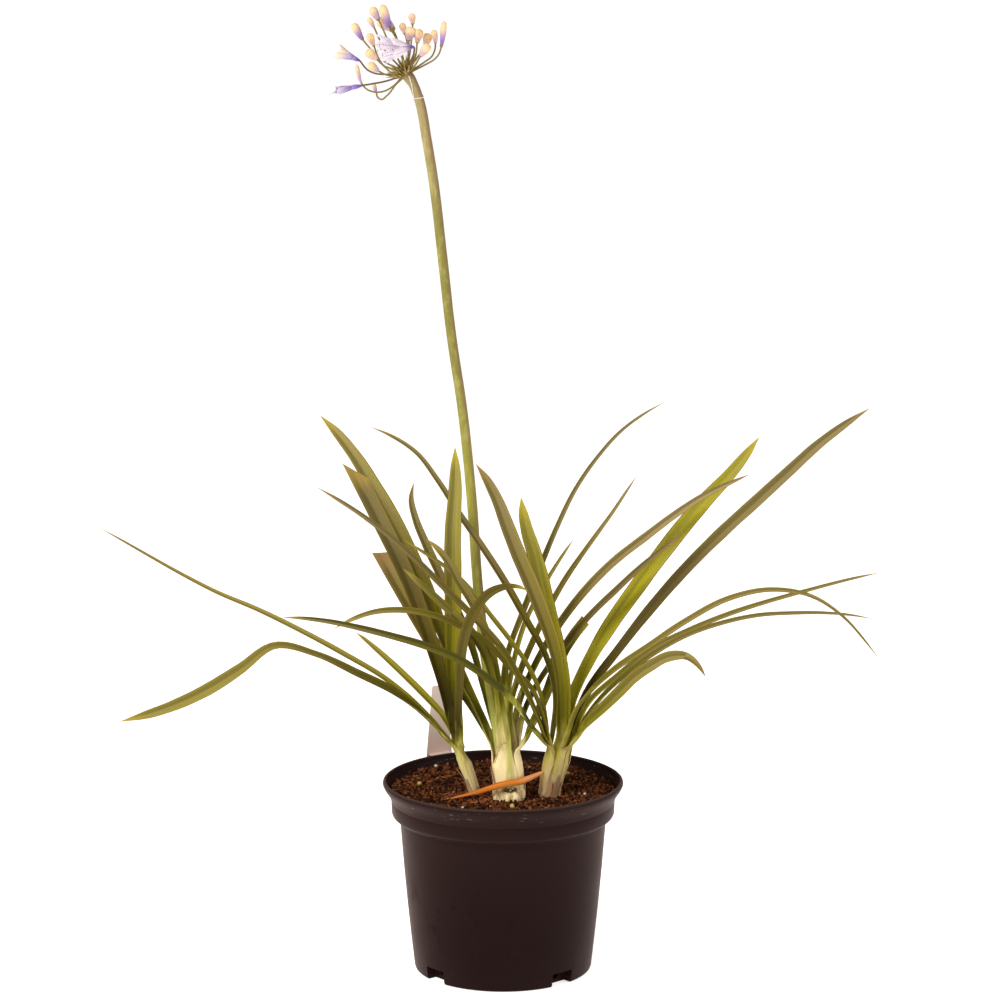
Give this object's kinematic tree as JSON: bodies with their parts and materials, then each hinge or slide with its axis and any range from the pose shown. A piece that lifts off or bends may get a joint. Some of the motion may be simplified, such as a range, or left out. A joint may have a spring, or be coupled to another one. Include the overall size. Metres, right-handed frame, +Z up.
{
  "type": "agapanthus plant",
  "caption": "Agapanthus with arching strap leaves and a tall flower stem topped by a head of buds and opening flowers, growing in a tapered black nursery pot with a blank plant label.",
  "frame": {"origin": "centre of the pot's flat underside, on the surface that the pot stands on", "axes": "+Z up along the pot's axis, -Y the front that the leaf shoots stand towards, +X to the right seen from the front"},
  "size_m": [0.622, 0.214, 0.7557],
  "materials": {
    "pot": "thin black moulded plastic, satin, lightly scuffed",
    "soil": "coarse brown potting compost with fibres, fully matt",
    "shoot": "pale fleshy leaf base, waxy, semi-matt",
    "leaf": "living strap leaf, olive green with a waxy sheen",
    "stem": "smooth fleshy flower stem, waxy sheen",
    "bud": "soft waxy flower bud, cream with a violet base",
    "petal": "thin soft petal, pale violet to white",
    "withered": "dry papery leaf, matt",
    "label": "thin plain plastic tag, satin"
  },
  "bodies": {
    "root": {"pot": "pot", "soil": "soil", "shoot_left": "shoot", "shoot_middle": "shoot", "shoot_right": "shoot", "leaf_left_1": "leaf", "leaf_left_2": "leaf", "leaf_left_3": "leaf", "leaf_left_4": "leaf", "leaf_left_5": "leaf", "leaf_left_6": "leaf", "leaf_middle_1": "leaf", "leaf_middle_2": "leaf", "leaf_middle_3": "leaf", "leaf_middle_4": "leaf", "leaf_middle_5": "leaf", "leaf_middle_6": "leaf", "leaf_middle_7": "leaf", "leaf_middle_8": "leaf", "leaf_middle_9": "leaf", "leaf_middle_10": "leaf", "leaf_middle_11": "leaf", "leaf_right_1": "leaf", "leaf_right_2": "leaf", "leaf_right_3": "leaf", "leaf_right_4": "leaf", "leaf_right_5": "leaf", "leaf_right_6": "leaf", "leaf_right_7": "leaf", "leaf_right_8": "leaf", "leaf_right_9": "leaf", "leaf_right_10": "leaf", "leaf_right_11": "leaf", "leaf_right_12": "leaf", "leaf_right_13": "leaf", "flower_stem": "stem", "bud_1": "bud", "bud_2": "bud", "bud_3": "bud", "bud_4": "bud", "bud_5": "bud", "bud_6": "bud", "bud_7": "bud", "bud_8": "bud", "bud_9": "bud", "bud_10": "bud", "bud_11": "bud", "bud_12": "bud", "bud_13": "bud", "bud_14": "bud", "bud_15": "bud", "bud_16": "bud", "bud_17": "bud", "bud_18": "bud", "flower_open": "petal", "flower_opening": "petal", "flower_nodding": "petal", "withered_leaf": "withered", "plant_label": "label"}
  },
  "joints": []
}
